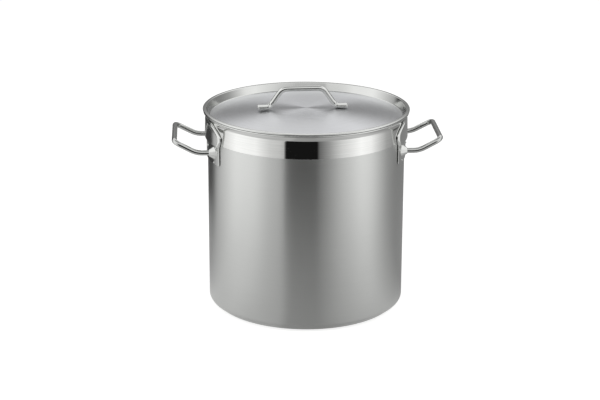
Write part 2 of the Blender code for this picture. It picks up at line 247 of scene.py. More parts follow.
def make_floor():
    tree, shader, material = new_material("white card")
    shader.inputs["Base Color"].default_value = FLOOR_CARD
    shader.inputs["Roughness"].default_value = 0.9
    shader.inputs["Specular IOR Level"].default_value = 0.0
    light_path = add_node(tree, "ShaderNodeLightPath")
    glow = add_node(tree, "ShaderNodeEmission", {"Strength": light_path.outputs["Is Camera Ray"]}, {
        "Color": (FLOOR_GLOW, FLOOR_GLOW, FLOOR_GLOW, 1),
    })
    both = add_node(tree, "ShaderNodeAddShader", {0: shader.outputs[0], 1: glow.outputs[0]})
    tree.links.new(both.outputs[0], tree.nodes["Material Output"].inputs["Surface"])
    material.cycles.emission_sampling = "NONE"

    form = bmesh.new()
    bmesh.ops.create_circle(form, cap_ends=True, segments=DISC_SEGMENTS, radius=FLOOR_RADIUS)
    floor = bpy.data.objects.new("floor", mesh_from(form, "floor", material))
    floor.location.z = -FLOOR_DROP
    bpy.context.scene.collection.objects.link(floor)
    floor.visible_glossy = False


def make_world():
    world = bpy.data.worlds.new("white studio")
    world.use_nodes = True
    tree = world.node_tree
    light_path = add_node(tree, "ShaderNodeLightPath")
    straight = add_node(tree, "ShaderNodeMath", {
        0: light_path.outputs["Is Camera Ray"], 1: light_path.outputs["Is Glossy Ray"],
    }, operation="MAXIMUM")
    straight = add_node(tree, "ShaderNodeMath", {
        0: straight.outputs[0], 1: light_path.outputs["Is Transmission Ray"],
    }, operation="MAXIMUM")
    level = add_node(tree, "ShaderNodeMapRange", {"Value": straight.outputs[0]}, {
        "To Min": WORLD_LEVEL, "To Max": 1.0,
    })
    background = tree.nodes["Background"]
    background.inputs["Color"].default_value = (1, 1, 1, 1)
    tree.links.new(level.outputs[0], background.inputs["Strength"])
    bpy.context.scene.world = world


def make_soft_box(name, place):
    data = bpy.data.lights.new(name, "AREA")
    data.size = SOFT_BOX_SIZE
    data.energy = SOFT_BOX_POWER
    lamp = bpy.data.objects.new(name, data)
    lamp.location = place
    lamp.rotation_mode = "QUATERNION"
    lamp.rotation_quaternion = (SOFT_BOX_AIM - Vector(place)).to_track_quat("-Z", "Y")
    lamp.visible_glossy = False
    bpy.context.scene.collection.objects.link(lamp)


make_floor()
make_world()
for name, place in SOFT_BOXES.items():
    make_soft_box(name, place)
bpy.context.scene.view_settings.view_transform = "Standard"

# %% [markdown]
# ## Stainless steel with turned marks
# The pot is one metal with several finishes, and each gives the eye something else. Those made
# while the piece turned have marks that run round it:
# - brushed: an abrasive belt held to the turning wall. A reflection smears up and down, across
#   the marks, and stays narrow along them;
# - mirror: buffed until the marks are gone, so that the tent shows almost sharp;
# - spun: the lid's floor, where the marks are rings, so that highlights meet in a bow tie;
# - buffed: the rim and the lid's wall and flange, bright with a soft smear;
# - satin: the base's cap, dull because nothing but a coarse belt has touched it.
# The marks of real 240 grit are about 0.06 mm apart, too fine to show on a whole pot, so they
# are drawn ten times coarser.

# %% Steel with turned marks
STEEL = linear("#D3D4D2")
STEEL_DARK = linear("#BFC0BE")
MARK_SPACING = 0.6 * MM
MARK_DRIFT = 2.5  # how often a mark changes on its way round the pot
CLOUD_SCALE = 9.0  # clouds of about 110 mm, where the belt pressed harder
CLOUD_SHARE = 0.4
NOISE_MIDDLE = (0.35, 0.65)  # the part of the noise that is stretched over the whole range
VERTICAL = 0.25  # of a turn: the smear runs across the rings


def turned_steel(name, roughness, spread, anisotropy, mark_depth, ring_way="Z", tone=STEEL):
    """Steel whose marks run round Z. They follow each other in height on a wall and in radius
    on a floor; ring_way says which."""
    tree, shader, material = new_material(name)
    place = add_node(tree, "ShaderNodeTexCoord").outputs["Object"]
    parts = add_node(tree, "ShaderNodeSeparateXYZ", {0: place})
    flat = add_node(tree, "ShaderNodeCombineXYZ", {0: parts.outputs["X"], 1: parts.outputs["Y"]})
    reach = add_node(tree, "ShaderNodeVectorMath", {0: flat.outputs[0]}, operation="LENGTH")
    around = add_node(tree, "ShaderNodeVectorMath", {0: flat.outputs[0]}, operation="NORMALIZE")
    across = parts.outputs["Z"] if ring_way == "Z" else reach.outputs["Value"]
    lines = add_node(tree, "ShaderNodeMath", {0: across}, {1: 1 / MARK_SPACING},
                     operation="MULTIPLY")
    slow = add_node(tree, "ShaderNodeVectorMath", {0: around.outputs[0]}, {3: MARK_DRIFT},
                    operation="SCALE")
    slow_parts = add_node(tree, "ShaderNodeSeparateXYZ", {0: slow.outputs[0]})
    field = add_node(tree, "ShaderNodeCombineXYZ", {
        0: slow_parts.outputs["X"], 1: slow_parts.outputs["Y"], 2: lines.outputs[0],
    })
    marks = add_node(tree, "ShaderNodeTexNoise", {"Vector": field.outputs[0]}, {
        "Scale": 1.0, "Detail": 2.0, "Roughness": 0.6,
    })
    cloud = add_node(tree, "ShaderNodeTexNoise", {"Vector": place}, {
        "Scale": CLOUD_SCALE, "Detail": 3.0, "Roughness": 0.5,
    })
    mixed = add_node(tree, "ShaderNodeMix", {2: marks.outputs["Fac"], 3: cloud.outputs["Fac"]}, {
        0: CLOUD_SHARE,
    }, data_type="FLOAT")
    rough = add_node(tree, "ShaderNodeMapRange", {"Value": mixed.outputs[0]}, {
        "From Min": NOISE_MIDDLE[0], "From Max": NOISE_MIDDLE[1],
        "To Min": roughness - spread, "To Max": roughness + spread,
    })
    color = add_node(tree, "ShaderNodeMix", {"Factor": mixed.outputs[0]}, {
        "A": STEEL_DARK, "B": tone,
    }, data_type="RGBA")
    bump = add_node(tree, "ShaderNodeBump", {"Height": marks.outputs["Fac"]}, {
        "Strength": 1.0, "Distance": mark_depth,
    })
    tangent = add_node(tree, "ShaderNodeTangent", direction_type="RADIAL", axis="Z")
    shader.inputs["Metallic"].default_value = 1.0
    shader.inputs["Anisotropic"].default_value = anisotropy
    shader.inputs["Anisotropic Rotation"].default_value = VERTICAL
    tree.links.new(color.outputs["Result"], shader.inputs["Base Color"])
    tree.links.new(rough.outputs[0], shader.inputs["Roughness"])
    tree.links.new(bump.outputs[0], shader.inputs["Normal"])
    tree.links.new(tangent.outputs[0], shader.inputs["Tangent"])
    return material


BRUSHED = turned_steel("brushed stainless steel", 0.31, 0.03, 0.9, 0.002 * MM,
                       tone=linear("#CBCCCA"))
BAND = turned_steel("mirror-polished stainless steel", 0.035, 0.01, 0.0, 0.0001 * MM,
                    tone=linear("#EFEFED"))
SPUN = turned_steel("spun stainless steel", 0.31, 0.03, 0.88, 0.002 * MM, "radius",
                    linear("#E4E5EA"))
RIM = turned_steel("buffed stainless steel", 0.12, 0.03, 0.3, 0.0005 * MM)
BASE = turned_steel("satin stainless steel", 0.38, 0.05, 0.6, 0.002 * MM)

# %% [markdown]
# ## Steel without turned marks
# The bars and the pressed plates have no turned marks. Their finish comes from two soft noises:
# a slow one for the wavy skin that polishing leaves and a fine one for handling marks:
# - polished bar: drawn rod, polished after bending, almost a mirror;
# - satin bar: the same rod in the side handles, finished a little duller; its darker colour is
#   painted shade;
# - pressed: polished sheet that has been pushed into a die and waves a little;
# - weld metal: a lump that was molten, shiny and uneven;
# - rolled aluminium: the disc in the base, paler and duller than any of the steel.

# %% Steel without turned marks
WEAR_SIZE = 3 * MM
WEAR_MIDDLE = (0.3, 0.7)  # the part of the noise that is stretched over the whole range


def worked_steel(name, roughness, spread, wave_size, wave_depth, tone=STEEL):
    """Metal with a wavy skin and fine wear, alike in every direction."""
    tree, shader, material = new_material(name)
    place = add_node(tree, "ShaderNodeTexCoord").outputs["Object"]
    wave = add_node(tree, "ShaderNodeTexNoise", {"Vector": place}, {
        "Scale": 1 / wave_size, "Detail": 1.0,
    })
    wear = add_node(tree, "ShaderNodeTexNoise", {"Vector": place}, {
        "Scale": 1 / WEAR_SIZE, "Detail": 4.0, "Roughness": 0.65,
    })
    rough = add_node(tree, "ShaderNodeMapRange", {"Value": wear.outputs["Fac"]}, {
        "From Min": WEAR_MIDDLE[0], "From Max": WEAR_MIDDLE[1],
        "To Min": roughness - spread, "To Max": roughness + spread,
    })
    color = add_node(tree, "ShaderNodeMix", {"Factor": wear.outputs["Fac"]}, {
        "A": STEEL_DARK, "B": tone,
    }, data_type="RGBA")
    bump = add_node(tree, "ShaderNodeBump", {"Height": wave.outputs["Fac"]}, {
        "Strength": 1.0, "Distance": wave_depth,
    })
    shader.inputs["Metallic"].default_value = 1.0
    tree.links.new(color.outputs["Result"], shader.inputs["Base Color"])
    tree.links.new(rough.outputs[0], shader.inputs["Roughness"])
    tree.links.new(bump.outputs[0], shader.inputs["Normal"])
    return material


BAR = worked_steel("polished stainless bar", 0.09, 0.02, 12 * MM, 0.02 * MM)
# The side handles' bar is the same steel as the lid's; its darker colour is painted shade for the
# dim surroundings they mirror.
SIDE_BAR_PAINTED_SHADE = worked_steel("satin stainless bar with painted shade", 0.15, 0.03, 12 * MM, 0.02 * MM, linear("#B6B7B5"))
PRESSED = worked_steel("pressed stainless sheet", 0.10, 0.02, 14 * MM, 0.15 * MM)
WELD = worked_steel("weld metal", 0.10, 0.03, 1.2 * MM, 0.03 * MM)
ALUMINIUM = worked_steel("rolled aluminium", 0.42, 0.05, 5 * MM, 0.05 * MM, linear("#D9DADC"))

# %% [markdown]
# ## Turned pieces
# The shell, the base's cap and the lid are all turned: one outline swept round an axis.
# Blender has a Screw modifier for that, but a tree of geometry nodes says the rule itself. It
# takes the outline's points, lays a grid with one row for each point, and puts every grid point
# at its outline point's radius and height, turned by its column. Merging closes the seam and
# the poles.


# %% Geometry tree for turned pieces
SEAM_MERGE = 0.002 * MM


def turning_tree():
    tree = bpy.data.node_groups.new("turned piece", "GeometryNodeTree")
    sockets = tree.interface
    sockets.new_socket("Outline", in_out="INPUT", socket_type="NodeSocketGeometry")
    steps = sockets.new_socket("Steps", in_out="INPUT", socket_type="NodeSocketInt")
    steel = sockets.new_socket("Steel", in_out="INPUT", socket_type="NodeSocketMaterial")
    sockets.new_socket("Piece", in_out="OUTPUT", socket_type="NodeSocketGeometry")
    given = add_node(tree, "NodeGroupInput").outputs
    count = add_node(tree, "GeometryNodeAttributeDomainSize", {"Geometry": given["Outline"]})
    columns = add_node(tree, "ShaderNodeMath", {0: given["Steps"]}, {1: 1}, operation="ADD")
    grid = add_node(tree, "GeometryNodeMeshGrid", {
        "Vertices X": count.outputs["Point Count"], "Vertices Y": columns.outputs[0],
    })
    index = add_node(tree, "GeometryNodeInputIndex").outputs[0]
    row = add_node(tree, "ShaderNodeMath", {0: index, 1: columns.outputs[0]}, operation="DIVIDE")
    row = add_node(tree, "ShaderNodeMath", {0: row.outputs[0]}, operation="FLOOR")
    column = add_node(tree, "ShaderNodeMath", {0: index, 1: columns.outputs[0]},
                      operation="MODULO")
    place = add_node(tree, "GeometryNodeSampleIndex", {
        "Geometry": given["Outline"], "Index": row.outputs[0],
        "Value": add_node(tree, "GeometryNodeInputPosition").outputs[0],
    }, data_type="FLOAT_VECTOR")
    share = add_node(tree, "ShaderNodeMath", {0: column.outputs[0], 1: given["Steps"]},
                     operation="DIVIDE")
    angle = add_node(tree, "ShaderNodeMath", {0: share.outputs[0]}, {1: math.tau},
                     operation="MULTIPLY")
    around = add_node(tree, "ShaderNodeVectorRotate", {
        "Vector": place.outputs[0], "Angle": angle.outputs[0],
    }, rotation_type="Z_AXIS")
    moved = add_node(tree, "GeometryNodeSetPosition", {
        "Geometry": grid.outputs["Mesh"], "Position": around.outputs[0],
    })
    closed = add_node(tree, "GeometryNodeMergeByDistance", {"Geometry": moved.outputs[0]}, {
        "Distance": SEAM_MERGE,
    })
    smooth = add_node(tree, "GeometryNodeSetShadeSmooth", {"Geometry": closed.outputs[0]})
    real = add_node(tree, "GeometryNodeRealizeInstances", {"Geometry": smooth.outputs[0]})
    painted = add_node(tree, "GeometryNodeSetMaterial", {
        "Geometry": real.outputs[0], "Material": given["Steel"],
    })
    add_node(tree, "NodeGroupOutput", {"Piece": painted.outputs[0]})
    return tree, {"steps": steps.identifier, "steel": steel.identifier}


TURNING, TURNING_INPUTS = turning_tree()
TURN_STEPS = 192
CORNER_STEPS = 12  # of an arc in an outline
BEAD_STEPS = 16
ROUND_STEPS = 8
SHARP = math.radians(40)
print("turning tree has", len(TURNING.nodes), "nodes")


# %% From an outline to a plain mesh
def finish_mesh(name, mesh):
    """Outward normals, smooth shading with sharp creases, and an object at the origin."""
    form = bmesh.new()
    form.from_mesh(mesh)
    bmesh.ops.recalc_face_normals(form, faces=form.faces)
    if form.calc_volume(signed=True) < 0:
        bmesh.ops.reverse_faces(form, faces=form.faces)
    form.to_mesh(mesh)
    form.free()
    mesh.shade_smooth()
    mesh.set_sharp_from_angle(angle=SHARP)
    mesh.name = name
    obj = bpy.data.objects.new(name, mesh)
    bpy.context.scene.collection.objects.link(obj)
    print(name, "has", len(mesh.polygons), "faces")
    return obj


def grown(name, seed_mesh, tree, values):
    """The mesh that a geometry tree makes from a seed mesh."""
    seed = bpy.data.objects.new(name, seed_mesh)
    bpy.context.scene.collection.objects.link(seed)
    modifier = seed.modifiers.new("geometry", "NODES")
    modifier.node_group = tree
    for identifier, value in values.items():
        modifier[identifier] = value
    graph = bpy.context.evaluated_depsgraph_get()
    mesh = bpy.data.meshes.new_from_object(seed.evaluated_get(graph))
    bpy.data.objects.remove(seed)
    while mesh.materials[0] is None:
        mesh.materials.pop(index=0)
    return mesh


def turned(name, outline, steel, steps=TURN_STEPS):
    """A turned mesh from its outline of (radius, height) points."""
    points = list(outline)
    if points[0][0] > 0:
        points.append(points[0])
    seed = bpy.data.meshes.new(name)
    seed.from_pydata([(radius, 0, height) for radius, height in points], [], [])
    return grown(name, seed, TURNING, {
        TURNING_INPUTS["steps"]: steps, TURNING_INPUTS["steel"]: steel,
    })


def arc(center, radius, start, end, steps):
    """Points of an arc in an outline; the angles are in degrees."""
    angles = [math.radians(start + (end - start) * step / steps) for step in range(steps + 1)]
    return [(center[0] + radius * math.cos(a), center[1] + radius * math.sin(a)) for a in angles]


def offset_path(path, distance):
    """The path moved to its left by a distance; points on the axis stay on it."""
    points = [Vector(point) for point in path]
    moved = []
    for index, point in enumerate(points):
        before = (point - points[index - 1]).normalized() if index else None
        after = (points[index + 1] - point).normalized() if index + 1 < len(points) else None
        sides = [Vector((-way.y, way.x)) for way in (before, after) if way]
        normal = sum(sides, Vector((0, 0))).normalized()
        place = point + normal * distance / normal.dot(sides[0])
        moved.append((0.0 if point.x == 0 else place.x, place.y))
    return moved


# %% [markdown]
# ## Shell
# The pot is drawn from one sheet. It has a rounded lower corner, a straight wall, and a flare
# that ends in a rolled bead. The outside carries three finishes, so its faces are shared out by
# height: brushed up to the band's foot, mirror up to the bead, and the bead itself is buffed.

# %% Shell
WALL_RADIUS = 0.180
SHEET = 1.0 * MM
GAP = 0.3 * MM
BASE_HEIGHT = 5 * MM
CORNER_RADIUS = 9 * MM
BAND_FOOT = 0.3217
FLARE_START = 0.3515
FLARE_RADIUS = 15 * MM
FLARE_ANGLE = 48  # degrees
RIM_BEAD_TURN = 130  # degrees each way from straight out
RIM_RADIUS = 0.1883
RIM_BEAD = 1.5 * MM
RIM_BEAD_REACH = 0.1875  # a little inside the lid's edge
RIM_BEAD_HEIGHT = 0.3638


def make_shell():
    corner = (WALL_RADIUS - CORNER_RADIUS, BASE_HEIGHT + CORNER_RADIUS)
    flare = (WALL_RADIUS + FLARE_RADIUS, FLARE_START)
    outer = [(0.0, BASE_HEIGHT), *arc(corner, CORNER_RADIUS, -90, 0, CORNER_STEPS)]
    outer += [(WALL_RADIUS, BAND_FOOT)]
    outer += arc(flare, FLARE_RADIUS, 180, 180 - FLARE_ANGLE, CORNER_STEPS)
    inner = offset_path(outer, SHEET)
    bead_center = (RIM_BEAD_REACH - RIM_BEAD, RIM_BEAD_HEIGHT)
    bead = arc(bead_center, RIM_BEAD, -RIM_BEAD_TURN, RIM_BEAD_TURN, BEAD_STEPS)
    mesh = turned("shell", outer + bead + inner[::-1], BRUSHED)
    mesh.materials.append(BAND)
    mesh.materials.append(RIM)
    for face in mesh.polygons:
        center = face.center
        outside = math.hypot(center.x, center.y) > WALL_RADIUS - SHEET / 2
        if outside and center.z > RIM_BEAD_HEIGHT - RIM_BEAD:
            face.material_index = 2
        elif outside and center.z > BAND_FOOT:
            face.material_index = 1
    shell = finish_mesh("shell", mesh)
    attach(shell, "pot")
    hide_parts("pot_shell")


make_shell()

# %% [markdown]
# ## Sandwich base
# An aluminium disc under the floor spreads the heat. A thin steel cap, a little smaller than the
# pot, closes it in. Its rounded edge is the only part of it that shows.

# %% Sandwich base
BASE_RADIUS = 0.1705
CAP_SHEET = 0.6 * MM
CAP_EDGE = 4 * MM
CAP_EDGE_STEPS = 10


def make_base():
    edge = (BASE_RADIUS - CAP_EDGE, CAP_EDGE)
    top = BASE_HEIGHT - GAP
    outer = [(0.0, 0.0), *arc(edge, CAP_EDGE, -90, 0, CAP_EDGE_STEPS), (BASE_RADIUS, top)]
    inner = offset_path(outer, CAP_SHEET)
    cap = finish_mesh("base", turned("base", outer + inner[::-1], BASE))
    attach(cap, "pot")
    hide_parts("base_cap")


make_base()

# %% [markdown]
# ## Lid
# The lid is sunk into the pot: a flange rests on the rim, a steep wall leads down to a crease
# and a low dome rises from there. Its floor is spun, its wall and flange are buffed. One outline
# follows the upper side and the same outline moved down by the sheet's thickness closes it.

# %% Lid pan
HEIGHT = 0.369
LID_BEAD = 1.5 * MM
LID_BEAD_END = -205  # degrees: the edge is rolled this far under
FLANGE_SLOPE = 9  # degrees, down and outwards
FLANGE_DROP = 0.4 * MM
CREASE_RADIUS = 0.1752
CREASE_HEIGHT = 0.3544
CREASE_ROUND = 1.8 * MM
CREASE_START = -75  # degrees
LID_WALL_TOP = 0.1812
LID_ROUND = 1.8 * MM
DOME_HEIGHT = 0.367
DOME_EDGE = CREASE_RADIUS - 1.5 * MM
WALL_FOOT = 2 * MM
DOME_STEPS = 24


def dome_height(radius):
    return DOME_HEIGHT - (DOME_HEIGHT - CREASE_HEIGHT) * (radius / CREASE_RADIUS) ** 2


def make_lid():
    radii = [DOME_EDGE * step / DOME_STEPS for step in range(DOME_STEPS + 1)]
    top = [(radius, dome_height(radius)) for radius in radii]
    rise = (HEIGHT - CREASE_HEIGHT, LID_WALL_TOP - CREASE_RADIUS - WALL_FOOT)
    lean = math.degrees(math.atan2(*rise))
    crease = (CREASE_RADIUS, CREASE_HEIGHT + CREASE_ROUND)
    top += arc(crease, CREASE_ROUND, CREASE_START, lean - 90, ROUND_STEPS)
    shoulder = (LID_WALL_TOP + LID_ROUND, HEIGHT - LID_ROUND)
    top += arc(shoulder, LID_ROUND, lean + 90, 90 - FLANGE_SLOPE, ROUND_STEPS)
    bead_center = (RIM_RADIUS - LID_BEAD, HEIGHT - FLANGE_DROP - LID_BEAD)
    bead = arc(bead_center, LID_BEAD, 90 - FLANGE_SLOPE, LID_BEAD_END, BEAD_STEPS)
    top.append(bead[0])
    under = offset_path(top, -SHEET)
    mesh = turned("lid", top + bead + under[::-1], SPUN)
    mesh.materials.append(RIM)
    for face in mesh.polygons:
        if math.hypot(face.center.x, face.center.y) > CREASE_RADIUS:
            face.material_index = 1
    lid = finish_mesh("lid", mesh)
    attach(lid, "lid")
    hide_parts("lid_pan")


make_lid()

# %% [markdown]
# ## Side handles
# Each handle is one bent rod, just under 10 mm thick. A rod is a circle carried along a line, so
# the tree below starts from the line's corners. Every corner holds its own bending radius in an
# attribute, the fillet node rounds it with that radius, and a circle is swept along the result.

# %% Geometry tree for bent rods
BEND_STEPS = 14


def rod_tree():
    tree = bpy.data.node_groups.new("bent rod", "GeometryNodeTree")
    sockets = tree.interface
    sockets.new_socket("Corners", in_out="INPUT", socket_type="NodeSocketGeometry")
    radius = sockets.new_socket("Rod Radius", in_out="INPUT", socket_type="NodeSocketFloat")
    sides = sockets.new_socket("Sides", in_out="INPUT", socket_type="NodeSocketInt")
    steel = sockets.new_socket("Steel", in_out="INPUT", socket_type="NodeSocketMaterial")
    sockets.new_socket("Rod", in_out="OUTPUT", socket_type="NodeSocketGeometry")
    given = add_node(tree, "NodeGroupInput").outputs
    line = add_node(tree, "GeometryNodeMeshToCurve", {"Mesh": given["Corners"]})
    bend = add_node(tree, "GeometryNodeInputNamedAttribute", values={"Name": "bend"},
                    data_type="FLOAT")
    rounded = add_node(tree, "GeometryNodeFilletCurve", {
        "Curve": line.outputs[0], "Radius": bend.outputs["Attribute"],
    }, {"Count": BEND_STEPS}, mode="POLY")
    ring = add_node(tree, "GeometryNodeCurvePrimitiveCircle", {
        "Resolution": given["Sides"], "Radius": given["Rod Radius"],
    })
    swept = add_node(tree, "GeometryNodeCurveToMesh", {
        "Curve": rounded.outputs[0], "Profile Curve": ring.outputs[0],
    }, {"Fill Caps": True})
    smooth = add_node(tree, "GeometryNodeSetShadeSmooth", {"Geometry": swept.outputs[0]})
    real = add_node(tree, "GeometryNodeRealizeInstances", {"Geometry": smooth.outputs[0]})
    painted = add_node(tree, "GeometryNodeSetMaterial", {
        "Geometry": real.outputs[0], "Material": given["Steel"],
    })
    add_node(tree, "NodeGroupOutput", {"Rod": painted.outputs[0]})
    return tree, {"radius": radius.identifier, "sides": sides.identifier,
                  "steel": steel.identifier}


ROD, ROD_INPUTS = rod_tree()
print("rod tree has", len(ROD.nodes), "nodes")

# %% Side handles
HANDLE_ROD = 4.73 * MM
LEG_HEIGHT = 0.302
LEG_HALF_SPAN = 0.0641
LEG_END = 0.1706
LEG_BEND = 0.2006
GRIP_REACH = 0.2399
GRIP_HEIGHT = 0.3226
GRIP_HALF_SPAN = 0.0626
LEG_BEND_RADIUS = 45 * MM
GRIP_BEND_RADIUS = 12 * MM
HANDLE_SIDES = 32
SIDES = {"right": 0.0, "left": math.pi}


def make_side_handle(side, turn):
    """The line's corners on one side of the middle, mirrored, bent and swept."""
    half = [
        (LEG_END, LEG_HALF_SPAN, LEG_HEIGHT), (LEG_BEND, LEG_HALF_SPAN, LEG_HEIGHT),
        (GRIP_REACH, GRIP_HALF_SPAN, GRIP_HEIGHT),
    ]
    corners = half + [(x, -y, z) for x, y, z in half[::-1]]
    seed = bpy.data.meshes.new("corners")
    seed.from_pydata(corners, [(n, n + 1) for n in range(len(corners) - 1)], [])
    bends = seed.attributes.new("bend", "FLOAT", "POINT").data
    radii = [0, LEG_BEND_RADIUS, GRIP_BEND_RADIUS]
    bends.foreach_set("value", radii + radii[::-1])
    # The side handles take the bar copy whose darker colour is painted shade.
    mesh = grown("rod", seed, ROD, {
        ROD_INPUTS["radius"]: HANDLE_ROD, ROD_INPUTS["sides"]: HANDLE_SIDES,
        ROD_INPUTS["steel"]: SIDE_BAR_PAINTED_SHADE,
    })
    mesh.transform(Matrix.Rotation(turn, 4, "Z"))
    handle = finish_mesh(f"side_handle_bar_{side}", mesh)
    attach(handle, "pot")
    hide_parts(f"side_handle_{side}")


for side, turn in SIDES.items():
    make_side_handle(side, turn)

# %% [markdown]
# ## Brackets
# The plate that carries a handle is pressed from sheet: flat against the wall below, where the
# legs pass through it, and raised into a hood above, with a rounded edge all round. It is built
# as rows of points on a cylinder. Each row has the plate's width at that height, and the hood's
# rise grows with the distance from the edge, like the first quarter of a sine wave.

# %% Brackets
PLATE_GAP = 0.6 * MM
PLATE_SHEET = 1.4 * MM
HOOD_FOOT = 0.3155
HOOD_RISE_TOP = 2.4 * MM
HOOD_RISE_FOOT = 3.4 * MM
HOOD_EDGE = 6 * MM
HOOD_TOP_STEEPNESS = 1.5  # against the sides of the hood
HOOD_FOOT_STEEPNESS = 2.0
# height and half width, measured round the wall, from the lower edge up
BRACKET_OUTLINE = (
    (0.2810, 0.0825), (0.2825, 0.0865), (0.2860, 0.0880), (0.2950, 0.0880), (0.3120, 0.0880),
    (0.3180, 0.0889), (0.3210, 0.0906), (0.3270, 0.0933), (0.3320, 0.0942), (0.3370, 0.0924),
    (0.3420, 0.0870), (0.3470, 0.0780), (0.3510, 0.0665), (0.3545, 0.0520),
)
HOOD_TOP = BRACKET_OUTLINE[-1][0]
EDGE_ROUND = 0.9 * MM
ROW_STEPS = 5
COLUMNS = 64
EDGE_COLUMNS = 8


def smooth_rows(outline, steps):
    """The outline's points with more between them, on a curve that passes through each."""
    points = [Vector(point) for point in outline]
    rows = []
    for n in range(len(points) - 1):
        a, b = points[max(n - 1, 0)], points[n]
        c, d = points[n + 1], points[min(n + 2, len(points) - 1)]
        for step in range(steps):
            t = step / steps
            rows.append(0.5 * (2 * b + (c - a) * t + (2 * a - 5 * b + 4 * c - d) * t**2
                               + (3 * b - a - 3 * c + d) * t**3))
    return rows + [points[-1]]


def hood_rise(from_side, height):
    """How far the hood stands out of the plate at this place."""
    if height <= HOOD_FOOT:
        return 0.0
    along = (height - HOOD_FOOT) / (HOOD_TOP - HOOD_FOOT)
    full = HOOD_RISE_FOOT + (HOOD_RISE_TOP - HOOD_RISE_FOOT) * along
    edges = (
        from_side, (HOOD_TOP - height) * HOOD_TOP_STEEPNESS,
        (height - HOOD_FOOT) * HOOD_FOOT_STEEPNESS,
    )
    inset = min(1.0, min(edges) / HOOD_EDGE)
    return full * math.sin(math.pi / 2 * max(0.0, inset))


def edge_drop(distance):
    """How far the plate's rounded rim lies below its face."""
    inset = min(1.0, max(0.0, distance) / EDGE_ROUND)
    return EDGE_ROUND * (1 - math.sqrt(1 - (1 - inset) ** 2))


def row_places(half):
    """Places across a row of this half width, closer together near its ends."""
    near = [HOOD_EDGE * (1 - math.cos(math.pi / 2 * n / EDGE_COLUMNS))
            for n in range(EDGE_COLUMNS)]
    inner = half - HOOD_EDGE
    middle = [-inner + 2 * inner * n / COLUMNS for n in range(COLUMNS + 1)]
    return [-half + d for d in near] + middle + [half - d for d in near[::-1]]


def make_bracket(side, turn):
    """An outer and an inner layer of rows, joined round their edge."""
    form = bmesh.new()
    foot = BRACKET_OUTLINE[0][0]
    layers = []
    for depth in (0.0, PLATE_SHEET):
        layer = []
        for height, half in smooth_rows(BRACKET_OUTLINE, ROW_STEPS):
            row = []
            for place in row_places(half):
                rise = hood_rise(half - abs(place), height)
                if depth == 0:
                    rise -= edge_drop(min(half - abs(place), height - foot, HOOD_TOP - height))
                angle = place / WALL_RADIUS + turn
                radius = WALL_RADIUS + PLATE_GAP + PLATE_SHEET + rise - depth
                row.append(form.verts.new((
                    radius * math.cos(angle), radius * math.sin(angle), height,
                )))
            layer.append(row)
        layers.append(layer)
    for layer in layers:
        for low, high in zip(layer, layer[1:]):
            for n in range(len(low) - 1):
                form.faces.new((low[n], low[n + 1], high[n + 1], high[n]))
    skin(form, [
        layer[0] + [row[-1] for row in layer[1:-1]] + layer[-1][::-1]
        + [row[0] for row in layer[-2:0:-1]]
        for layer in layers
    ])
    bracket = finish_mesh(f"bracket_{side}", mesh_from(form, "bracket", PRESSED))
    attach(bracket, "pot")
    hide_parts(f"side_bracket_{side}")


for side, turn in SIDES.items():
    make_bracket(side, turn)

# %% [markdown]
# ## Collars
# Where a leg enters the plate there is a small bell round it. Its foot has to follow the curved
# plate, so each column of points finds its own foot: the place where the bell meets the plate.
# A column starts at that foot in the bore, goes out to the mouth and comes back down the flare.

# %% Collars
PLATE_FACE = WALL_RADIUS + PLATE_GAP + PLATE_SHEET
COLLAR_LENGTH = 8 * MM
COLLAR_MOUTH = 6.3 * MM
COLLAR_FOOT = 11.4 * MM
COLLAR_BORE = 5.1 * MM
COLLAR_FLARE = 1.15  # 1 would be a straight cone
COLLAR_EASE = 0.4 * MM  # the broken edge of the mouth
COLLAR_LIP = 0.04  # of the collar's length, taken by that edge
COLLAR_CLEARANCE = 0.1 * MM
COLLAR_ROWS = 12
COLLAR_COLUMNS = 48


def collar_point(turn_angle, share, radius, mouth):
    """A point of the collar: share 0 is its mouth and 1 its foot on the plate."""
    across, up = math.cos(turn_angle), math.sin(turn_angle)
    y = LEG_HALF_SPAN + radius * across
    foot = math.sqrt((PLATE_FACE + COLLAR_CLEARANCE) ** 2 - y**2)
    return (mouth + (foot - mouth) * share, y, LEG_HEIGHT + radius * up)


def make_collar(side, turn, end):
    mouth = math.sqrt(PLATE_FACE**2 - LEG_HALF_SPAN**2) + COLLAR_LENGTH
    profile = [(1.0, COLLAR_BORE), (0.0, COLLAR_BORE), (0.0, COLLAR_MOUTH - COLLAR_EASE)]
    for row in range(COLLAR_ROWS + 1):
        share = row / COLLAR_ROWS
        wide = COLLAR_MOUTH + (COLLAR_FOOT - COLLAR_MOUTH) * share**COLLAR_FLARE
        profile.append((COLLAR_LIP + (1 - COLLAR_LIP) * share, wide))
    angles = [math.tau * n / COLLAR_COLUMNS for n in range(COLLAR_COLUMNS)]
    form = bmesh.new()
    rings = [
        [form.verts.new(collar_point(angle, share, radius, mouth)) for angle in angles]
        for share, radius in profile
    ]
    skin(form, rings + rings[:1])
    mesh = mesh_from(form, "collar", BAR)
    back = (turn == 0) == (end == "back")
    if not back:
        mesh.transform(Matrix.Scale(-1, 4, (0, 1, 0)))
    mesh.transform(Matrix.Rotation(turn, 4, "Z"))
    collar = finish_mesh(f"collar_{side}_{end}", mesh)
    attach(collar, "pot")
    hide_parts(f"handle_collar_{side}_{end}")


for side, turn in SIDES.items():
    for end in ("front", "back"):
        make_collar(side, turn, end)

# %% [markdown]
# ## Spot welds
# The plates are spot-welded to the wall, and two dots hold each foot of the lid's handle. A dot
# is a flat button of metal, repeated many times, which is work for instances: one sphere pressed
# flat, set on every point along that point's own outward direction, with a little random size.

# %% Geometry tree for weld dots
DOT_SIZES = (0.85, 1.1)  # smallest and largest, against the size asked for
DOT_SEED = 7
DOT_SEGMENTS = 20
DOT_RINGS = 12


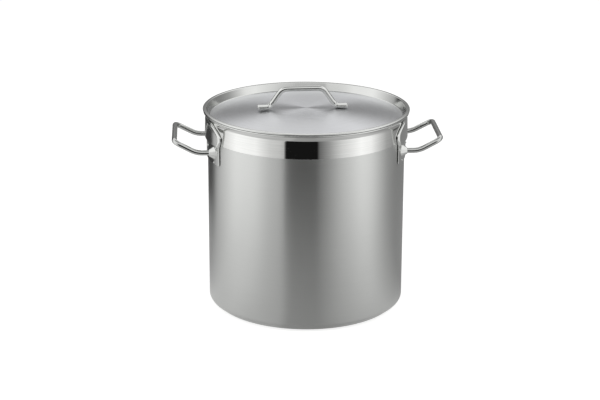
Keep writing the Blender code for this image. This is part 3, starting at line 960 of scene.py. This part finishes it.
def dot_tree():
    tree = bpy.data.node_groups.new("weld dots", "GeometryNodeTree")
    sockets = tree.interface
    sockets.new_socket("Places", in_out="INPUT", socket_type="NodeSocketGeometry")
    radius = sockets.new_socket("Dot Radius", in_out="INPUT", socket_type="NodeSocketFloat")
    height = sockets.new_socket("Dot Height", in_out="INPUT", socket_type="NodeSocketFloat")
    steel = sockets.new_socket("Steel", in_out="INPUT", socket_type="NodeSocketMaterial")
    sockets.new_socket("Dots", in_out="OUTPUT", socket_type="NodeSocketGeometry")
    given = add_node(tree, "NodeGroupInput").outputs
    points = add_node(tree, "GeometryNodeMeshToPoints", {"Mesh": given["Places"]})
    outward = add_node(tree, "GeometryNodeInputNamedAttribute", values={"Name": "outward"},
                       data_type="FLOAT_VECTOR")
    facing = add_node(tree, "FunctionNodeAlignRotationToVector", {
        "Vector": outward.outputs["Attribute"],
    }, axis="Z")
    uneven = add_node(tree, "FunctionNodeRandomValue", values={
        2: DOT_SIZES[0], 3: DOT_SIZES[1], "Seed": DOT_SEED,
    }, data_type="FLOAT")
    wide = add_node(tree, "ShaderNodeMath", {0: uneven.outputs[1], 1: given["Dot Radius"]},
                    operation="MULTIPLY")
    size = add_node(tree, "ShaderNodeCombineXYZ", {
        0: wide.outputs[0], 1: wide.outputs[0], 2: given["Dot Height"],
    })
    button = add_node(tree, "GeometryNodeMeshUVSphere", values={
        "Segments": DOT_SEGMENTS, "Rings": DOT_RINGS, "Radius": 1.0,
    })
    dots = add_node(tree, "GeometryNodeInstanceOnPoints", {
        "Points": points.outputs[0], "Instance": button.outputs["Mesh"],
        "Rotation": facing.outputs[0], "Scale": size.outputs[0],
    })
    real = add_node(tree, "GeometryNodeRealizeInstances", {"Geometry": dots.outputs[0]})
    smooth = add_node(tree, "GeometryNodeSetShadeSmooth", {"Geometry": real.outputs[0]})
    painted = add_node(tree, "GeometryNodeSetMaterial", {
        "Geometry": smooth.outputs[0], "Material": given["Steel"],
    })
    add_node(tree, "NodeGroupOutput", {"Dots": painted.outputs[0]})
    return tree, {"radius": radius.identifier, "height": height.identifier,
                  "steel": steel.identifier}


DOTS, DOT_INPUTS = dot_tree()


def make_dots(name, places, body, radius, height, nodes):
    """Weld dots from (place, outward direction) pairs, as one piece."""
    seed = bpy.data.meshes.new("places")
    seed.from_pydata([place for place, _ in places], [], [])
    outward = seed.attributes.new("outward", "FLOAT_VECTOR", "POINT").data
    outward.foreach_set("vector", [value for _, way in places for value in way])
    mesh = grown(name, seed, DOTS, {
        DOT_INPUTS["radius"]: radius, DOT_INPUTS["height"]: height, DOT_INPUTS["steel"]: WELD,
    })
    dots = finish_mesh(name, mesh)
    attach(dots, body)
    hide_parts(*nodes)


# %% Weld dots on the plates
DOT_RADIUS = 2.3 * MM
DOT_HEIGHT = 1.6 * MM
# distance round the wall from the plate's middle, and height
DOT_PLACES = ((0.0755, 0.3134), (0.0822, 0.3068), (0.0680, 0.2850), (0.0270, 0.3065))

for side, turn in SIDES.items():
    dot_places = []
    for sign in (-1, 1):
        for place, height in DOT_PLACES:
            way = Vector((math.cos(sign * place / WALL_RADIUS + turn),
                          math.sin(sign * place / WALL_RADIUS + turn), 0))
            dot_places.append((way * PLATE_FACE + Vector((0, 0, height)), way))
    names = [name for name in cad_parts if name.startswith(f"spot_weld_{side}")]
    make_dots(f"weld_dots_{side}", dot_places, "pot", DOT_RADIUS, DOT_HEIGHT, names)

# %% [markdown]
# ## Lid handle
# The lid's handle is a thicker rod. Its grip and risers are round, and its two feet are pressed
# flat in a die that leaves a groove along each. The section has to change along the rod, so the
# rings are placed one by one and each is mixed from the round section and the pressed one.

# %% Lid handle
LID_ROD = 5 * MM
LID_GRIP_HALF = 0.0371
LID_RISER_FOOT = 0.0594
LID_FOOT_END = 0.0822
LID_GRIP_HEIGHT = 0.4028
LID_BEND_RADIUS = 18 * MM
FOOT_HALF_WIDTH = 7.8 * MM
FOOT_HALF_HEIGHT = 3.8 * MM
FOOT_GROOVE = 4.4 * MM
FOOT_CORNERS = 0.6  # 1 would be an ellipse, 0 a rectangle
GROOVE_SPREAD = 0.62  # of the half width
GROOVE_STEEPNESS = 8
LID_HANDLE_SHIFT = -6.6 * MM  # it is welded on a little off the middle
LID_TURN = math.radians(2.8)
LID_HANDLE_SIDES = 36
PRESS_START = 2 * MM  # before the riser's foot
PRESS_LENGTH = 5 * MM
END_EASE = 0.22  # how much narrower the very end of a foot is
END_EASE_LENGTH = 1.5 * MM
END_RINGS = (0.15, 0.6, 1.5, 4, 8, 12)  # mm from the end, where the section changes


def rounded_route(corners, radii, steps):
    """A route through the corners, with an arc at each inner one."""
    points = [Vector(corners[0])]
    for before, corner, after, radius in zip(corners, corners[1:], corners[2:], radii):
        corner = Vector(corner)
        back = (Vector(before) - corner).normalized()
        on = (Vector(after) - corner).normalized()
        half = back.angle(on) / 2
        center = corner + (back + on).normalized() * radius / math.sin(half)
        start = corner + back * radius / math.tan(half) - center
        end = corner + on * radius / math.tan(half) - center
        for step in range(steps + 1):
            points.append(center + start.slerp(end, step / steps).normalized() * radius)
    return points + [Vector(corners[-1])]


def foot_height():
    return dome_height(LID_RISER_FOOT) + GAP + LID_ROD


def bar_section(press, end_share):
    """One ring of (across, up) points; press 0 is round and 1 is the grooved foot."""
    ring = []
    for side in range(LID_HANDLE_SIDES):
        angle = math.tau * (side + 0.5) / LID_HANDLE_SIDES
        across, up = math.cos(angle), math.sin(angle)
        foot_across = FOOT_HALF_WIDTH * math.copysign(abs(across) ** FOOT_CORNERS, across)
        foot_up = FOOT_HALF_HEIGHT * math.copysign(abs(up) ** FOOT_CORNERS, up)
        if up > 0:
            foot_up -= FOOT_GROOVE * math.exp(-((across / GROOVE_SPREAD) ** GROOVE_STEEPNESS))
        point = Vector((across, up)) * LID_ROD
        ring.append(point.lerp(Vector((foot_across, foot_up)), press) * end_share)
    return ring


def make_lid_handle():
    """Rings along the handle's route, joined and closed at both ends."""
    low = foot_height()
    half = [(LID_FOOT_END, 0, low), (LID_RISER_FOOT, 0, low), (LID_GRIP_HALF, 0, LID_GRIP_HEIGHT)]
    corners = half + [(-x, y, z) for x, y, z in half[::-1]]
    route = rounded_route(corners, [LID_BEND_RADIUS] * 4, BEND_STEPS)
    ends = [LID_FOOT_END - from_end * MM for from_end in END_RINGS]
    route[1:1] = [Vector((x, 0, low)) for x in ends]
    route[-1:-1] = [Vector((-x, 0, low)) for x in ends[::-1]]
    form = bmesh.new()
    rings = []
    for n, place in enumerate(route):
        way = route[min(n + 1, len(route) - 1)] - route[max(n - 1, 0)]
        up = Vector((0, 1, 0)).cross(way.normalized())
        past_start = abs(place.x) - LID_RISER_FOOT + PRESS_START
        press = min(1.0, max(0.0, past_start / PRESS_LENGTH))
        press = press * press * (3 - 2 * press)  # smoothly from round to pressed
        from_end = LID_FOOT_END - abs(place.x)
        end_share = 1 - END_EASE * max(0.0, 1 - from_end / END_EASE_LENGTH) ** 2
        drop = Vector((0, 0, (LID_ROD - FOOT_HALF_HEIGHT) * press))
        rings.append([
            form.verts.new(place - drop + Vector((0, point.x, 0)) + up * point.y)
            for point in bar_section(press, end_share)
        ])
    skin(form, rings)
    form.faces.new(rings[0])
    form.faces.new(rings[-1])
    mesh = mesh_from(form, "lid handle", BAR)
    mesh.transform(Matrix.Translation((LID_HANDLE_SHIFT, 0, 0)))
    mesh.transform(Matrix.Rotation(LID_TURN, 4, "Z"))
    handle = finish_mesh("lid_handle_bar", mesh)
    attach(handle, "lid")
    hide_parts("lid_handle")


make_lid_handle()

# %% Weld dots in the lid handle's feet
LID_DOT_REACHES = (0.0665, 0.0755)
LID_DOT_RADIUS = 1.2 * MM
LID_DOT_HEIGHT = 0.7 * MM
groove = foot_height() - LID_ROD + 2 * FOOT_HALF_HEIGHT - FOOT_GROOVE
turn = Matrix.Rotation(LID_TURN, 3, "Z")
dot_places = [
    (turn @ Vector((LID_HANDLE_SHIFT + sign * reach, 0, groove)), (0, 0, 1))
    for sign in (-1, 1) for reach in LID_DOT_REACHES
]
names = [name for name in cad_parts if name.startswith("lid_weld")]
make_dots("lid_weld_dots", dot_places, "lid", LID_DOT_RADIUS, LID_DOT_HEIGHT, names)

# %% [markdown]
# ## Inner welds and the disc
# The rings of weld that hold the legs and the aluminium disc lie out of sight. They keep their
# CAD shapes and only take their metals.

# %% Pieces that keep their CAD shape
for name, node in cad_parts.items():
    if name.startswith("handle_weld"):
        node.data.materials[0] = WELD
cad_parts["base_core"].data.materials[0] = ALUMINIUM
